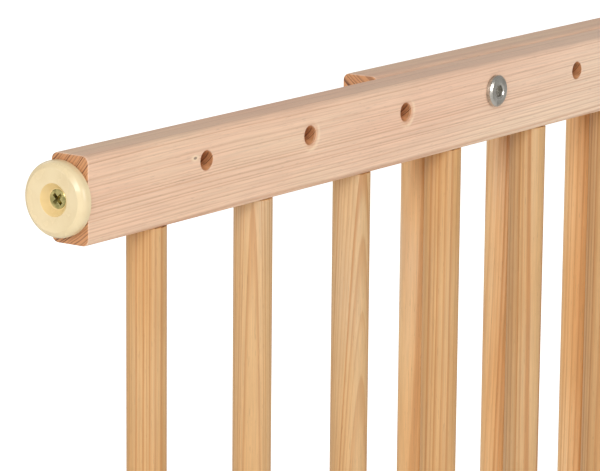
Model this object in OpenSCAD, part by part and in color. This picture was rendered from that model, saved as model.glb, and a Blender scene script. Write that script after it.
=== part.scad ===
// Adjustable wooden safety gate: two slatted panels that lie one behind the other, slide
// sideways over each other and are bolted together through rows of holes in their rails.
// X runs along the rails, Y from the front to the back, Z up from the rails' lower edge.

/* [Panels] */
// Height from the underside of the bottom rails to the top of the top rails
gate_h = 720; // [500:10:900]
// Height of every rail
rail_h = 35; // [32:1:45]
// Thickness of every rail, from front to back
rail_t = 18; // [17:1:24]
// Radius of the rounded long edges of a rail
rail_edge_r = 3; // [1:0.5:5]
// Free space between the front panel and the back panel
panel_gap = 0.3; // [0.2:0.1:2]

/* [Slats] */
// Slats in each panel
slat_count = 9; // [9:1:12]
// Distance from one slat to the next, and from one adjusting hole to the next
pitch = 70; // [64:1:90]
// Distance from the end of a rail to its first slat
slat_inset = 47; // [44:1:50]
// Diameter of a slat
slat_d = 16; // [14:1:16]
// Diameter of the tenon turned on each end of a slat
tenon_d = 12; // [8:1:12]
// Length of a tenon, and so the depth of its blind hole
tenon_len = 12; // [8:1:12]

/* [Adjusting holes] */
// Diameter of the holes through the rails
hole_d = 8; // [7:1:9]
// Distance from a hole's centre to the outer edge of its rail
hole_inset = 12.5; // [11:0.5:13]
// Distance from the left end of a front rail to its first hole
front_first_hole = 74; // [70:1:78]
// Distance from the left end of a back rail to its first hole
back_first_hole = 65; // [62:1:65]
// Front hole that the back panel's first hole lines up with
meeting_hole = 4; // [3:1:5]

/* [Connecting bolts] */
// Diameter of the heads of the bolts and sleeve nuts
bolt_head_d = 14; // [12:1:17]
// Height of the heads
bolt_head_h = 2.7; // [2.5:0.1:3.5]
// Diameter of the flat face left inside the bevel of a head
bolt_face_d = 12; // [8:0.5:12]
// Width across the flats of the hexagon socket
socket_af = 5; // [4:0.5:5]
// Depth of the hexagon socket
socket_depth = 2.3; // [1.5:0.1:2.3]
// Diameter of the bolt's thread
bolt_d = 6; // [5:1:6]
// Length of the bolt under its head
bolt_len = 30; // [26:1:31]
// Length of the sleeve under its head
sleeve_len = 26; // [22:1:28]
// Running clearance on the radius of a shaft in its hole
running_gap = 0.05; // [0.02:0.01:0.1]

/* [Wall pads] */
// Diameter of a wall pad
pad_d = 30; // [26:1:30]
// Thickness of a wall pad
pad_t = 5.6; // [5.4:0.1:7]
// Radius of the pad's rounded front edge
pad_edge_r = 2; // [0.8:0.1:2.4]
// Diameter of the dished recess at the pad's face
dish_d = 13.2; // [11:0.2:15]
// Depth of the screw head below the pad's face
head_sink = 3.4; // [1.2:0.1:3.4]
// Diameter of the countersunk screw head
screw_head_d = 7.8; // [7:0.1:8.2]
// Diameter of the screw's shank
screw_d = 4; // [3.5:0.5:4]
// Length of the wood screws that hold the left pads
wood_screw_len = 35; // [25:5:40]
// Distance from the front face of the front rails to the centre of the left pads
left_pad_depth = 13; // [9:0.5:13]

/* [Spindle adjusters] */
// Diameter of the threaded spindle
spindle_d = 8; // [6:1:8]
// Length of spindle left inside the rail when it is fully out
spindle_grip = 20; // [15:1:20]
// Diameter of the handwheel
wheel_d = 29; // [26:1:34]
// Thickness of the handwheel
wheel_t = 10; // [9:1:12]
// Finger scallops round the handwheel
scallop_count = 10; // [8:1:12]
// Diameter of a scallop's cutter
scallop_d = 7; // [6:1:8]
// Width across the flats of the handwheel's nut
nut_af = 13; // [12:1:14]
// Thickness of the handwheel's nut
nut_t = 6.5; // [5:0.5:7]
// Length of the machine screws that hold the right pads
machine_screw_len = 12; // [10:1:16]

/* [Hidden] */
$fn = 64;
over = 1; // how far a cutter runs past the face it cuts
skim = 0.2; // free space between the handwheel and the end of the rail
rail_len = 2 * slat_inset + (slat_count - 1) * pitch;
hole_count = slat_count - 1;
back_y = rail_t + panel_gap;
back_x = front_first_hole + (meeting_hole - 1) * pitch - back_first_hole;
stack_t = back_y + rail_t;
bolt_holes = [meeting_hole, hole_count];
socket_d = socket_af / cos(30);
screw_head_h = (screw_head_d - screw_d) / 2;
pad_hole_d = screw_d + 0.2;
pad_gap = 1.3; // free space between the handwheel and its pad, fully in
travel = pitch;
spindle_in = spindle_grip + travel;
pocket_depth = spindle_in + 2;
pocket_d = spindle_d + 0.6;
end_x = back_x + rail_len;
pad_back_x = end_x + skim + wheel_t + pad_gap;
adjuster_y = back_y + rail_t / 2;
left_face_x = -pad_t;
right_face_x = pad_back_x + pad_t;
front_most_y = -bolt_head_h;
back_most_y = max(stack_t + bolt_head_h, adjuster_y + wheel_d / 2, adjuster_y + pad_d / 2);
// The origin: middle of the width and of the depth, on the floor
origin = [(left_face_x + right_face_x) / 2, (front_most_y + back_most_y) / 2, 0];

rail_colour = "#E0A988";
slat_colour = "#DBB47C";
cream = "#EEDCAF";
yellow_zinc = "#8F8452";
nickel = "#C9C7C2";
zinc = "#B4B8BA";

ROWS = ["top", "bottom"];
SIDES = ["left", "right"];

// Height of the middle of the top or bottom rail
function mid_z(row) = row == "top" ? gate_h - rail_h / 2 : rail_h / 2;
// Height of the row of holes in the top or bottom rail
function hole_z(row) = row == "top" ? gate_h - hole_inset : hole_inset;
// Distance of a front rail's numbered hole from the rail's left end
function front_hole_x(i) = front_first_hole + (i - 1) * pitch;
// Distance of any panel's numbered slat from the panel's left end
function slat_x(i) = slat_inset + (i - 1) * pitch;

// Moves a piece from the front panel's lower left corner to the gate's own origin
module in_gate() {
    translate(-origin) children();
}

// Turns a piece drawn along +Z so that it points along +X, -X, +Y or -Y
module toward_right() {
    rotate([0, 90, 0]) children();
}
module toward_left() {
    rotate([0, -90, 0]) children();
}
module toward_back() {
    rotate([-90, 0, 0]) children();
}
module toward_front() {
    rotate([90, 0, 0]) children();
}

// Cross-section of a rail, centred, with its height along X
module rail_section() {
    square([rail_h, rail_t - 2 * rail_edge_r], center = true);
    square([rail_h - 2 * rail_edge_r, rail_t], center = true);
    for (x = [-1, 1]) for (y = [-1, 1])
        translate([x * (rail_h / 2 - rail_edge_r), y * (rail_t / 2 - rail_edge_r)])
            circle(r = rail_edge_r);
}

// One rail from its left end, with its holes and the sockets for the slats' tenons
module drilled_rail(row, first_hole) {
    inner_z = row == "top" ? gate_h - rail_h : rail_h;
    into = row == "top" ? 1 : -1;
    difference() {
        translate([0, rail_t / 2, mid_z(row)]) toward_right() linear_extrude(rail_len) rail_section();
        for (i = [0:hole_count - 1])
            translate([first_hole + i * pitch, -over, hole_z(row)])
                toward_back() cylinder(d = hole_d, h = rail_t + 2 * over);
        for (i = [1:slat_count])
            translate([slat_x(i), rail_t / 2, inner_z + into * (tenon_len - over) / 2])
                cylinder(d = tenon_d, h = tenon_len + over, center = true);
    }
}

module front_rail(row) {
    color(rail_colour) in_gate() difference() {
        drilled_rail(row, front_first_hole);
        translate([-over, left_pad_depth, mid_z(row)])
            toward_right() cylinder(d = screw_d, h = wood_screw_len + over - pad_t + head_sink);
    }
}

module back_rail(row) {
    color(rail_colour) in_gate() translate([back_x, back_y, 0]) difference() {
        drilled_rail(row, back_first_hole);
        translate([rail_len + over, rail_t / 2, mid_z(row)])
            toward_left() cylinder(d = pocket_d, h = pocket_depth + over);
    }
}

// A round slat with its two tenons
module slat(x, y) {
    shoulder_len = gate_h - 2 * rail_h;
    color(slat_colour) in_gate() translate([x, y, gate_h / 2]) {
        cylinder(d = slat_d, h = shoulder_len, center = true);
        cylinder(d = tenon_d, h = shoulder_len + 2 * tenon_len, center = true);
    }
}

module front_slat(i) {
    slat(slat_x(i), rail_t / 2);
}

module back_slat(i) {
    slat(back_x + slat_x(i), back_y + rail_t / 2);
}

// A wall pad on the Z axis with its back at 0 and its face at the top, dished for its screw
module pad_body() {
    seat_z = pad_t - head_sink;
    difference() {
        rotate_extrude() {
            square([pad_d / 2 - pad_edge_r, pad_t]);
            square([pad_d / 2, pad_t - pad_edge_r]);
            translate([pad_d / 2 - pad_edge_r, pad_t - pad_edge_r]) circle(r = pad_edge_r);
        }
        translate([0, 0, seat_z])
            cylinder(d1 = screw_head_d + 0.4, d2 = dish_d, h = head_sink);
        translate([0, 0, pad_t]) cylinder(d = dish_d, h = over);
        translate([0, 0, seat_z - screw_head_h])
            cylinder(d1 = screw_d, d2 = screw_head_d, h = screw_head_h);
        translate([0, 0, -over]) cylinder(d = pad_hole_d, h = pad_t);
    }
}

// A countersunk screw that points down from the top of its head at 0
module screw_body(length, point_len) {
    cross_w = 1;
    cross_d = 4.4;
    cross_depth = 1.6;
    difference() {
        union() {
            translate([0, 0, -screw_head_h])
                cylinder(d1 = screw_d, d2 = screw_head_d, h = screw_head_h);
            translate([0, 0, point_len - length]) cylinder(d = screw_d, h = length - point_len);
            if (point_len > 0)
                translate([0, 0, -length]) cylinder(d1 = 0.6, d2 = screw_d, h = point_len);
        }
        for (a = [45, 135])
            rotate(a) translate([-cross_d / 2, -cross_w / 2, -cross_depth])
                cube([cross_d, cross_w, cross_depth + over]);
    }
}

module left_wall_pad(row) {
    color(cream) in_gate() translate([0, left_pad_depth, mid_z(row)]) toward_left() pad_body();
}

module left_pad_screw(row) {
    color(yellow_zinc) in_gate() translate([head_sink - pad_t, left_pad_depth, mid_z(row)])
        toward_left() screw_body(wood_screw_len, 5);
}

module right_wall_pad(row) {
    color(cream) in_gate() translate([pad_back_x, adjuster_y, mid_z(row)])
        toward_right() pad_body();
}

module right_pad_screw(row) {
    color(yellow_zinc) in_gate() translate([right_face_x - head_sink, adjuster_y, mid_z(row)])
        toward_right() screw_body(machine_screw_len, 0);
}

// The bevelled head of a bolt or sleeve nut, from 0 up, with its hexagon socket
module socket_head() {
    rim_h = 2;
    difference() {
        union() {
            cylinder(d = bolt_head_d, h = rim_h);
            translate([0, 0, rim_h])
                cylinder(d1 = bolt_head_d, d2 = bolt_face_d, h = bolt_head_h - rim_h);
        }
        translate([0, 0, bolt_head_h - socket_depth])
            cylinder(d = socket_d, h = socket_depth + over, $fn = 6);
    }
}

// Distance from the front panel's left end to the bolts of one side
function bolt_x(side) = front_hole_x(side == "left" ? bolt_holes[0] : bolt_holes[1]);

module bolt(row, side) {
    color(nickel) in_gate() translate([bolt_x(side), 0, hole_z(row)]) {
        toward_front() socket_head();
        toward_back() cylinder(d = bolt_d, h = bolt_len);
    }
}

module sleeve_nut(row, side) {
    thread_depth = sleeve_len - 4;
    color(nickel) in_gate() translate([bolt_x(side), stack_t, hole_z(row)]) {
        toward_back() socket_head();
        difference() {
            toward_front() cylinder(d = hole_d - 2 * running_gap, h = sleeve_len);
            translate([0, -sleeve_len + thread_depth, 0])
                toward_front() cylinder(d = bolt_d + 2 * running_gap, h = thread_depth + over);
        }
    }
}

// Places a handwheel part on the end of a back rail, pointing away from the rail
module on_rail_end(row) {
    translate([end_x + skim, adjuster_y, mid_z(row)]) toward_right() children();
}

module handwheel(row) {
    color(cream) in_gate() on_rail_end(row) difference() {
        cylinder(d = wheel_d, h = wheel_t);
        for (i = [0:scallop_count - 1])
            rotate(i * 360 / scallop_count) translate([wheel_d / 2 + scallop_d / 4, 0, -over])
                cylinder(d = scallop_d, h = wheel_t + 2 * over);
        translate([0, 0, -over]) cylinder(d = nut_af / cos(30), h = nut_t + over, $fn = 6);
        translate([0, 0, -over]) cylinder(d = pocket_d, h = wheel_t + 2 * over);
    }
}

module handwheel_nut(row) {
    color(zinc) in_gate() on_rail_end(row) difference() {
        cylinder(d = nut_af / cos(30), h = nut_t, $fn = 6);
        translate([0, 0, -over]) cylinder(d = spindle_d + 2 * running_gap, h = nut_t + 2 * over);
    }
}

module spindle(row) {
    bore_depth = machine_screw_len - screw_head_h;
    color(zinc) in_gate() translate([pad_back_x, adjuster_y, mid_z(row)]) difference() {
        toward_left() cylinder(d = spindle_d, h = spindle_in + pad_back_x - end_x);
        translate([over, 0, 0]) toward_left() cylinder(d = screw_d, h = bore_depth + over);
    }
}

front_rail("top");  // front_top_rail
front_rail("bottom");  // front_bottom_rail
back_rail("top");  // back_top_rail
back_rail("bottom");  // back_bottom_rail
for (i = [1:slat_count]) {
    front_slat(i);
    back_slat(i);
}
for (row = ROWS) {
    left_wall_pad(row);
    left_pad_screw(row);
    handwheel(row);
    handwheel_nut(row);
    spindle(row);
    right_wall_pad(row);
    right_pad_screw(row);
    for (side = SIDES) {
        bolt(row, side);
        sleeve_nut(row, side);
    }
}
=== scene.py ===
import math
import random

import bmesh
import bpy
from mathutils import Matrix, Vector


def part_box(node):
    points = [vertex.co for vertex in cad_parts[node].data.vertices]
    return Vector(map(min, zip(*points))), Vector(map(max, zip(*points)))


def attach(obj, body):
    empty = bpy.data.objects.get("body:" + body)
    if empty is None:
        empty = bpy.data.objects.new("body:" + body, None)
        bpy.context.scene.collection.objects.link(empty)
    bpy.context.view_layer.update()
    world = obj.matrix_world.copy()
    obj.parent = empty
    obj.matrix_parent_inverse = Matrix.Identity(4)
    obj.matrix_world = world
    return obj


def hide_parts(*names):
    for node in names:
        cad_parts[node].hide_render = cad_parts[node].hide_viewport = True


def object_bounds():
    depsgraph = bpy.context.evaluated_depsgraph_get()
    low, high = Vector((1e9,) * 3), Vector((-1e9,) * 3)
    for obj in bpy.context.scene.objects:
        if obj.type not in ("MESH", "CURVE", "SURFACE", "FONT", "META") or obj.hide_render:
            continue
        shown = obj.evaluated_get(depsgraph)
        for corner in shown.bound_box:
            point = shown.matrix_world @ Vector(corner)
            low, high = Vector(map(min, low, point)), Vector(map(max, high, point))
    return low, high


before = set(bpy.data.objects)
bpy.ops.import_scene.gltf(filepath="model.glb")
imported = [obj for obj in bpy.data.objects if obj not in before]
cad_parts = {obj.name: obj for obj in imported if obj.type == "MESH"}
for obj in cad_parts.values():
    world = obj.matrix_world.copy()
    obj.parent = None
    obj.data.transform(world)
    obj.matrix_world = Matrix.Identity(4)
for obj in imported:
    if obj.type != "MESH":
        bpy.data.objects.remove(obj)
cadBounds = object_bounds()
scene = bpy.context.scene
mm = 0.001
rows = ("top", "bottom")
sides = ("left", "right")
print("frame loaded with", len(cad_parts), "nodes")


# Places read from the frame

def middle(node):
    low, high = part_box(node)
    return (low + high) / 2


railLow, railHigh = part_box("front_top_rail")
slatCount = sum(1 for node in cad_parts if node.startswith("front_slat_"))
slatStep = middle("front_slat_2").x - middle("front_slat_1").x
holeCount = slatCount - 1
firstHoleX = {"front": middle("top_left_bolt").x - 3 * slatStep, "back": middle("top_left_bolt").x}
holeZ = {row: middle(row + "_left_bolt").z for row in rows}


# Node tree helpers

def newGroup(name, kind, inputs, outputs):
    group = bpy.data.node_groups.new(name, kind)
    for label, socketType, value in inputs:
        socket = group.interface.new_socket(label, in_out="INPUT", socket_type=socketType)
        if value is not None:
            socket.default_value = value
    for label, socketType in outputs:
        group.interface.new_socket(label, in_out="OUTPUT", socket_type=socketType)
    return group, group.nodes.new("NodeGroupInput").outputs, group.nodes.new("NodeGroupOutput").inputs


def addNode(tree, kind, inputs=None, **settings):
    node = tree.nodes.new(kind)
    for name, value in settings.items():
        setattr(node, name, value)
    for key, value in (inputs or {}).items():
        if isinstance(value, bpy.types.NodeSocket):
            tree.links.new(value, node.inputs[key])
        else:
            node.inputs[key].default_value = value
    return node


def calc(tree, operation, first, second=0.0, third=0.0):
    return addNode(tree, "ShaderNodeMath", {0: first, 1: second, 2: third}, operation=operation).outputs[0]


def vectorCalc(tree, operation, first, second=(0, 0, 0)):
    node = addNode(tree, "ShaderNodeVectorMath", {0: first}, operation=operation)
    if operation == "SCALE":
        key = "Scale"
    else:
        key = 1
    if isinstance(second, bpy.types.NodeSocket):
        tree.links.new(second, node.inputs[key])
    else:
        node.inputs[key].default_value = second
    return node.outputs["Value" if operation in ("LENGTH", "DOT_PRODUCT") else "Vector"]


def ramp(tree, value, low, high, lowOut=0.0, highOut=1.0, course="SMOOTHSTEP"):
    inputs = {"Value": value, "From Min": low, "From Max": high, "To Min": lowOut, "To Max": highOut}
    return addNode(tree, "ShaderNodeMapRange", inputs, interpolation_type=course).outputs["Result"]


def noise(tree, vector, scale, detail=2.0, roughness=0.5):
    stretched = vectorCalc(tree, "MULTIPLY", vector, scale)
    inputs = {"Vector": stretched, "Scale": 1.0, "Detail": detail, "Roughness": roughness}
    return addNode(tree, "ShaderNodeTexNoise", inputs).outputs


def blendColour(tree, share, first, second, mode="MIX"):
    node = addNode(tree, "ShaderNodeMix", data_type="RGBA", blend_type=mode, clamp_factor=True)
    # sockets 0, 6 and 7 are the factor and the two colours
    for key, value in ((0, share), (6, first), (7, second)):
        if isinstance(value, bpy.types.NodeSocket):
            tree.links.new(value, node.inputs[key])
        else:
            node.inputs[key].default_value = value
    return node.outputs[2]


def colour(red, green, blue):
    # screen values from 0 to 255 as a linear colour
    def linear(value):
        value /= 255
        return value / 12.92 if value <= 0.04045 else ((value + 0.055) / 1.055) ** 2.4
    return (linear(red), linear(green), linear(blue), 1)


def useGroup(tree, group, inputs):
    node = tree.nodes.new("ShaderNodeGroup")
    node.node_tree = group
    for key, value in inputs.items():
        if isinstance(value, bpy.types.NodeSocket):
            tree.links.new(value, node.inputs[key])
        else:
            node.inputs[key].default_value = value
    return node.outputs


def newMaterial(name):
    material = bpy.data.materials.new(name)
    material.use_nodes = True
    return material, material.node_tree, material.node_tree.nodes["Principled BSDF"]


def tintNodes(tree, share):
    # a grey of that share, to multiply a colour by
    return addNode(tree, "ShaderNodeCombineColor", {0: share, 1: share, 2: share}).outputs[0]


# Camera, floor and light

camera = {
    "lens": 208.9,
    "yaw": math.radians(35.53),
    "pitch": math.radians(11.99),
    "roll": math.radians(-0.51),
    "fromCorner": Vector((-0.99805, -0.81075, 0.24305)),  # from the front top rail's near upper corner
}


def makeCamera(look):
    data = bpy.data.cameras.new("viewCamera")
    data.lens = look["lens"]
    data.clip_end = 200
    corner = Vector((railLow.x, railLow.y, railHigh.z))
    forward = Vector((
        math.cos(look["yaw"]) * math.cos(look["pitch"]),
        math.sin(look["yaw"]) * math.cos(look["pitch"]),
        -math.sin(look["pitch"]),
    ))
    right = Vector((math.sin(look["yaw"]), -math.cos(look["yaw"]), 0))
    down = forward.cross(right)
    turn = look["roll"]
    rightRolled = right * math.cos(turn) + down * math.sin(turn)
    downRolled = down * math.cos(turn) - right * math.sin(turn)
    pose = Matrix((rightRolled, -downRolled, -forward)).transposed().to_4x4()
    pose.translation = corner + look["fromCorner"]
    body = bpy.data.objects.new("viewCamera", data)
    body.matrix_world = pose
    scene.collection.objects.link(body)
    scene.camera = body


studio = {
    "floorHalf": 60.0,
    "floorDrop": 0.2 * mm,
    "aimFromCorner": Vector((0.3, 0, -0.15)),  # what the softboxes face, from the front top rail's left end
    "floorColour": (0.88, 0.88, 0.87, 1),
    "floorGlow": 0.75,  # only the camera sees it
    "skyStrength": 0.42,
    "skyShown": 1.0,  # strength of the sky that the camera sees
    "skyColour": (1.0, 0.985, 0.95, 1),
    # name: (bearing and height of the light in degrees, distance, size, power)
    "softboxes": {
        "keyBox": (206, 24, 5.0, 1.8, 80.0),
        "frontBox": (262, 14, 5.0, 2.4, 84.0),
        "leftBox": (155, 14, 5.0, 2.4, 60.0),
        "backBox": (75, 35, 5.0, 2.4, 22.0),
    },
}


def makeStudio(look):
    scene.view_settings.view_transform = "Standard"
    world = bpy.data.worlds.new("studioSky")
    world.use_nodes = True
    backdrop = world.node_tree.nodes["Background"]
    backdrop.inputs["Color"].default_value = look["skyColour"]
    seen = world.node_tree.nodes.new("ShaderNodeLightPath").outputs["Is Camera Ray"]
    strength = ramp(world.node_tree, seen, 0.0, 1.0, look["skyStrength"], look["skyShown"])
    world.node_tree.links.new(strength, backdrop.inputs["Strength"])
    scene.world = world
    half = look["floorHalf"]
    mesh = bpy.data.meshes.new("studioFloor")
    corners = [(-half, -half, 0), (half, -half, 0), (half, half, 0), (-half, half, 0)]
    mesh.from_pydata(corners, [], [(0, 1, 2, 3)])
    floor = bpy.data.objects.new("studioFloor", mesh)
    scene.collection.objects.link(floor)
    floor.location.z = cadBounds[0][2] - look["floorDrop"]
    material, tree, paint = newMaterial("floorPaint")
    paint.inputs["Base Color"].default_value = look["floorColour"]
    paint.inputs["Roughness"].default_value = 0.8
    paint.inputs["Emission Color"].default_value = (1, 1, 1, 1)
    seen = tree.nodes.new("ShaderNodeLightPath").outputs["Is Camera Ray"]
    tree.links.new(ramp(tree, seen, 0.0, 1.0, 0.0, look["floorGlow"]), paint.inputs["Emission Strength"])
    mesh.materials.append(material)
    target = Vector((railLow.x, 0, railHigh.z)) + look["aimFromCorner"]
    for name, (bearing, height, distance, size, power) in look["softboxes"].items():
        data = bpy.data.lights.new(name, "AREA")
        data.shape = "SQUARE"
        data.size = size
        data.energy = power
        box = bpy.data.objects.new(name, data)
        turn, lift = math.radians(bearing), math.radians(height)
        toward = Vector((math.cos(turn) * math.cos(lift), math.sin(turn) * math.cos(lift), math.sin(lift)))
        box.location = target + toward * distance
        box.rotation_euler = toward.to_track_quat("Z", "Y").to_euler()
        box.visible_camera = False
        scene.collection.objects.link(box)


makeCamera(camera)
makeStudio(studio)
print("camera, floor and lights are up")


# Growth rings: Position is measured from the pith, with its Z along the grain

pineFigure = {
    # noise scales per metre, across and along the grain
    "driftScale": (16, 16, 3.2),
    "rippleScale": (120, 120, 14),
    "fibreScale": (1500, 1500, 38),
    "cloudScale": (34, 34, 6),
    "fleckScale": (2600, 2600, 190),
    "rippleShare": 0.10,
    "ringUneven": (0.37, 2.2),  # how often and how far the rings stray from an even gap
    "lateRise": (0.38, 0.88),  # where the late wood begins and is full, as shares of a ring
    "lateFall": (0.91, 1.0),
    "faintestRing": 0.35,
    "fleckFrom": (0.66, 0.74),
}


def makePineGrain(look):
    inputs = [
        ("Position", "NodeSocketVector", None),
        ("Ring Gap", "NodeSocketFloat", 2 * mm),
        ("Waver", "NodeSocketFloat", 3 * mm),
    ]
    outputs = [(label, "NodeSocketFloat") for label in ("Ring", "Fibre", "Cloud", "Fleck")]
    group, given, out = newGroup("pineGrain", "ShaderNodeTree", inputs, outputs)
    position = given["Position"]
    half = (0.5, 0.5, 0.5)
    drift = vectorCalc(group, "SUBTRACT", noise(group, position, look["driftScale"], 1.0)["Color"], half)
    ripple = vectorCalc(group, "SUBTRACT", noise(group, position, look["rippleScale"], 1.0)["Color"], half)
    shift = vectorCalc(group, "ADD", drift, vectorCalc(group, "SCALE", ripple, look["rippleShare"]))
    bent = vectorCalc(group, "ADD", position, vectorCalc(group, "SCALE", shift, given["Waver"]))
    radius = vectorCalc(group, "LENGTH", vectorCalc(group, "MULTIPLY", bent, (1, 1, 0)))
    phase = calc(group, "DIVIDE", radius, given["Ring Gap"])
    often, far = look["ringUneven"]
    straying = {"W": calc(group, "MULTIPLY", phase, often), "Scale": 1.0}
    uneven = addNode(group, "ShaderNodeTexNoise", straying, noise_dimensions="1D")
    phase = calc(group, "ADD", phase, calc(group, "MULTIPLY", uneven.outputs[0], far))
    share = calc(group, "FRACT", phase)
    rise = ramp(group, share, *look["lateRise"])
    fall = ramp(group, share, *look["lateFall"], 1.0, 0.0)
    ringNumber = {"W": calc(group, "FLOOR", phase)}
    chance = addNode(group, "ShaderNodeTexWhiteNoise", ringNumber, noise_dimensions="1D").outputs["Value"]
    strength = ramp(group, chance, 0.0, 1.0, look["faintestRing"], 1.0)
    ring = calc(group, "MULTIPLY", calc(group, "MULTIPLY", rise, fall), strength)
    group.links.new(ring, out["Ring"])
    group.links.new(noise(group, position, look["fibreScale"], 3.0, 0.6)["Fac"], out["Fibre"])
    group.links.new(noise(group, position, look["cloudScale"], 2.0)["Fac"], out["Cloud"])
    fleck = noise(group, position, look["fleckScale"], 1.0)["Fac"]
    group.links.new(ramp(group, fleck, *look["fleckFrom"]), out["Fleck"])
    return group


# The ring that a bolt head presses into the wood round a hole, with a painted highlight on its lower right
# where the dent catches the light

boltPrint = {
    "radius": 6.0 * mm,
    "width": 1.7 * mm,
    "highlightSide": (0.8, 0, -0.5),
    "reach": 7.246 * mm,  # how far from the centre the highlighted side counts in full
    "flatten": (1, 6, 1),  # keeps the print on the face
    "patchScale": (420, 420, 420),
}


def makeBoltMark(look):
    inputs = [
        ("Position", "NodeSocketVector", None),
        ("Centre", "NodeSocketVector", None),
        ("Radius", "NodeSocketFloat", look["radius"]),
        ("Width", "NodeSocketFloat", look["width"]),
    ]
    outputs = [("Mark", "NodeSocketFloat"), ("Inside", "NodeSocketFloat")]
    group, given, out = newGroup("boltMark", "ShaderNodeTree", inputs, outputs)
    away = vectorCalc(group, "SUBTRACT", given["Position"], given["Centre"])
    distance = vectorCalc(group, "LENGTH", vectorCalc(group, "MULTIPLY", away, look["flatten"]))
    off = calc(group, "ABSOLUTE", calc(group, "SUBTRACT", distance, given["Radius"]))
    band = calc(group, "SUBTRACT", 1.0, calc(group, "DIVIDE", off, given["Width"]))
    reached = vectorCalc(group, "SCALE", away, 1 / look["reach"])
    toward = vectorCalc(group, "DOT_PRODUCT", reached, look["highlightSide"])
    # the pressed ring is real, but its strength toward the lower right is a painted highlight where the
    # dent's edge catches the light
    printAndHighlight = calc(group, "MULTIPLY", ramp(group, toward, -0.2, 0.8, 0.05, 1.0), ramp(group, band, 0.0, 1.0))
    patches = noise(group, given["Position"], look["patchScale"], 2.0)["Fac"]
    patchy = ramp(group, patches, 0.3, 0.6, 0.3, 1.0)
    group.links.new(calc(group, "MULTIPLY", printAndHighlight, patchy), out["Mark"])
    inside = ramp(group, calc(group, "SUBTRACT", given["Radius"], distance), -0.5 * mm, 1.2 * mm)
    side = ramp(group, toward, -0.4, 0.8, 0.2, 1.0)
    group.links.new(calc(group, "MULTIPLY", inside, side), out["Inside"])
    return group


# A small dark fleck in the wood with a pale halo

def makeWoodFleck():
    inputs = [
        ("Position", "NodeSocketVector", None),
        ("Centre", "NodeSocketVector", None),
        ("Radius", "NodeSocketFloat", 0.8 * mm),
    ]
    outputs = [("Core", "NodeSocketFloat"), ("Halo", "NodeSocketFloat")]
    group, given, out = newGroup("woodFleck", "ShaderNodeTree", inputs, outputs)
    away = vectorCalc(group, "SUBTRACT", given["Position"], given["Centre"])
    distance = vectorCalc(group, "LENGTH", vectorCalc(group, "MULTIPLY", away, (0.6, 1, 1.2)))
    share = calc(group, "DIVIDE", distance, given["Radius"])
    group.links.new(ramp(group, share, 0.5, 1.1, 1.0, 0.0), out["Core"])
    group.links.new(ramp(group, share, 1.0, 2.6, 1.0, 0.0), out["Halo"])
    return group


pineGrain = makePineGrain(pineFigure)
boltMark = makeBoltMark(boltPrint)
woodFleck = makeWoodFleck()

railPineLook = {
    "early": colour(236, 198, 169),
    "late": colour(200, 150, 116),
    "warm": colour(235, 190, 161),
    "pale": colour(238, 207, 176),
    "far": colour(243, 214, 190),
    "farShare": 0.7,
    "endEarly": colour(204, 145, 98),
    "endLate": colour(98, 52, 30),
    "cut": colour(242, 178, 122),
    # pale colour of the fleck halos and the bolt prints; on a print's lower right it is a painted highlight
    "pressed": colour(248, 222, 190),
    "bruised": colour(214, 152, 106),
    "speck": colour(112, 80, 66),
    "ringShare": 0.60,
    "waver": 5.5 * mm,
    "order": (1, 2, 0),  # the grain runs along X
}
slatPineLook = {
    "early": colour(219, 178, 127),
    "late": colour(186, 123, 62),
    "warm": colour(212, 162, 104),
    "pale": colour(216, 181, 141),
    "far": colour(216, 176, 132),
    "farShare": 0.0,
    "endEarly": colour(226, 176, 116),
    "endLate": colour(150, 96, 50),
    "cut": colour(206, 150, 92),
    "ringShare": 0.72,
    "waver": 2.8 * mm,
    "order": (0, 1, 2),  # the grain runs along Z
}


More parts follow.
